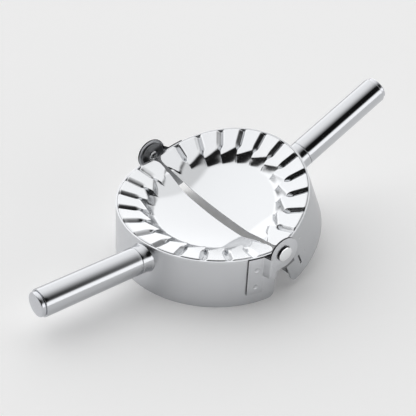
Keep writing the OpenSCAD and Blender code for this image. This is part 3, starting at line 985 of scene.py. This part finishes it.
def makeSmallPieces(s):
    for node, (slot, kind, bevel) in s.items():
        side = node.split("_")[0]
        piece = newObject(node + "_eased", copyOfNode(node))
        softenEdges(piece, bevel)
        applyAll(piece)
        finishPiece(piece, steels[side, kind], halves[side]["body"], slot, node)
        print(piece.name, len(piece.data.polygons), "faces")
    for side in halves:
        core = frame["nodes"][f"{side}_core"]
        core.data.materials.clear()
        core.data.materials.append(steels[side, "inner"])


makeSmallPieces(smallSpec)


# Camera, at the place and lens that fit the photograph

cameraSettings = {
    "azimuth": math.radians(-40.5107),
    "elevation": math.radians(35.3837),
    "roll": math.radians(3.0938),
    "distance": 597.2939 * mm,
    "target": Vector((hingeX + 6.0888 * mm, 11.3309 * mm, 15 * mm)),
    "lens": 98.138,
}


def makeCamera(s):
    flat = math.cos(s["elevation"])
    back = Vector((math.sin(s["azimuth"]) * flat, -math.cos(s["azimuth"]) * flat,
                   math.sin(s["elevation"])))
    right = Vector((math.cos(s["azimuth"]), math.sin(s["azimuth"]), 0))
    up = back.cross(right)
    rolledRight = right * math.cos(s["roll"]) + up * math.sin(s["roll"])
    rolledUp = up * math.cos(s["roll"]) - right * math.sin(s["roll"])
    turned = Matrix((rolledRight, rolledUp, back)).transposed().to_4x4()
    data = bpy.data.cameras.new("camera")
    data.lens = s["lens"]
    data.sensor_width = 36
    data.clip_start = 0.01
    camera = bpy.data.objects.new("camera", data)
    camera.matrix_world = Matrix.Translation(s["target"] + back * s["distance"]) @ turned
    bpy.context.scene.collection.objects.link(camera)
    bpy.context.scene.camera = camera


makeCamera(cameraSettings)


# Floor and light

floorSettings = {"reach": 3.0, "colour": (0.95, 0.95, 0.95, 1), "roughness": 0.8,
                 "gloss": 0.2, "paintedGlow": 0.08}


def makeFloor(s):
    mesh = bpy.data.meshes.new("floor")
    reach = s["reach"]
    corners = ((-1, -1), (1, -1), (1, 1), (-1, 1))
    mesh.from_pydata([(x * reach, y * reach, 0) for x, y in corners], [], [(0, 1, 2, 3)])
    floor = newObject("floor", mesh)
    material = bpy.data.materials.new("paleFloor")
    material.use_nodes = True
    shader = material.node_tree.nodes["Principled BSDF"]
    shader.inputs["Base Color"].default_value = s["colour"]
    shader.inputs["Roughness"].default_value = s["roughness"]
    shader.inputs["Specular IOR Level"].default_value = s["gloss"]
    # the floor glows a little, painted light that lifts its shadow and brightens the backdrop
    shader.inputs["Emission Color"].default_value = (1, 1, 1, 1)
    shader.inputs["Emission Strength"].default_value = s["paintedGlow"]
    mesh.materials.append(material)


lightSettings = {
    "tent": 1.45,
    "strip": 1.65,
    "stripHigh": (0.30, 0.53),
    "flag": 0.008,
    "flagAt": (math.radians(5), math.radians(45)),
    "flagCore": 0.05,
    "flagFade": 0.27,
    "sideFlagFrom": (math.radians(-134), math.radians(-114)),
    "sideFlagTo": (math.radians(-30), math.radians(-8)),
    "sideFlagHigh": (0.79, 0.96),
    "sideFlagDrop": 0.5,
    "sideFlagDropTo": (math.radians(-122), math.radians(-84)),
    "back": 0.8,
    "backSides": (math.radians(125), math.radians(145)),
    "backHigh": (0.05, 0.20),
    "right": 0.3,
    "rightFrom": (math.radians(46), math.radians(58)),
    "rightTo": (math.radians(106), math.radians(122)),
    "rightHigh": (0.40, 0.72),
}


def makeLight(s):
    # a white tent with dark flags before the object and low on either side, as a world
    # that only depends on direction
    world = bpy.data.worlds.new("tent")
    world.use_nodes = True
    tree = world.node_tree
    link = tree.links.new
    background = tree.nodes["Background"]
    where = tree.nodes.new("ShaderNodeTexCoord")
    parts = tree.nodes.new("ShaderNodeSeparateXYZ")
    link(where.outputs["Generated"], parts.inputs[0])
    x, y, z = (Amount(tree, parts.outputs[i]) for i in range(3))
    around = x.do("ARCTAN2", y * -1.0)

    def rise(value, ends):
        return ((value - ends[0]) / (ends[1] - ends[0])).soft()

    turn, lift = s["flagAt"]
    facing = (x * (math.sin(turn) * math.cos(lift)) - y * (math.cos(turn) * math.cos(lift))
              + z * math.sin(lift))
    apart = (1.0 - s["flagCore"] - facing).atLeast(0.0)
    tent = s["flag"] + s["tent"] * (1.0 - (apart * (-1.0 / s["flagFade"])).do("EXPONENT"))
    tent = tent + (s["strip"] - tent) * (1.0 - rise(z, s["stripHigh"]))
    lower = s["sideFlagDrop"] * (1.0 - rise(around, s["sideFlagDropTo"]))
    side = (rise(around, s["sideFlagFrom"]) * (1.0 - rise(around, s["sideFlagTo"]))
            * (1.0 - rise(z + lower, s["sideFlagHigh"])))
    away = rise(around.do("ABSOLUTE"), s["backSides"]) * (1.0 - rise(z, s["backHigh"]))
    right = (rise(around, s["rightFrom"]) * (1.0 - rise(around, s["rightTo"]))
             * (1.0 - rise(z, s["rightHigh"])))
    level = (tent - side * (tent - s["flag"]) - away * (s["strip"] - s["back"])
             - right * (tent - s["right"]))
    link(level.socket, background.inputs["Strength"])
    background.inputs["Color"].default_value = (1, 1, 1, 1)
    bpy.context.scene.world = world


makeFloor(floorSettings)
makeLight(lightSettings)
bpy.context.scene.view_settings.view_transform = "Standard"
print("camera, floor and light ready")
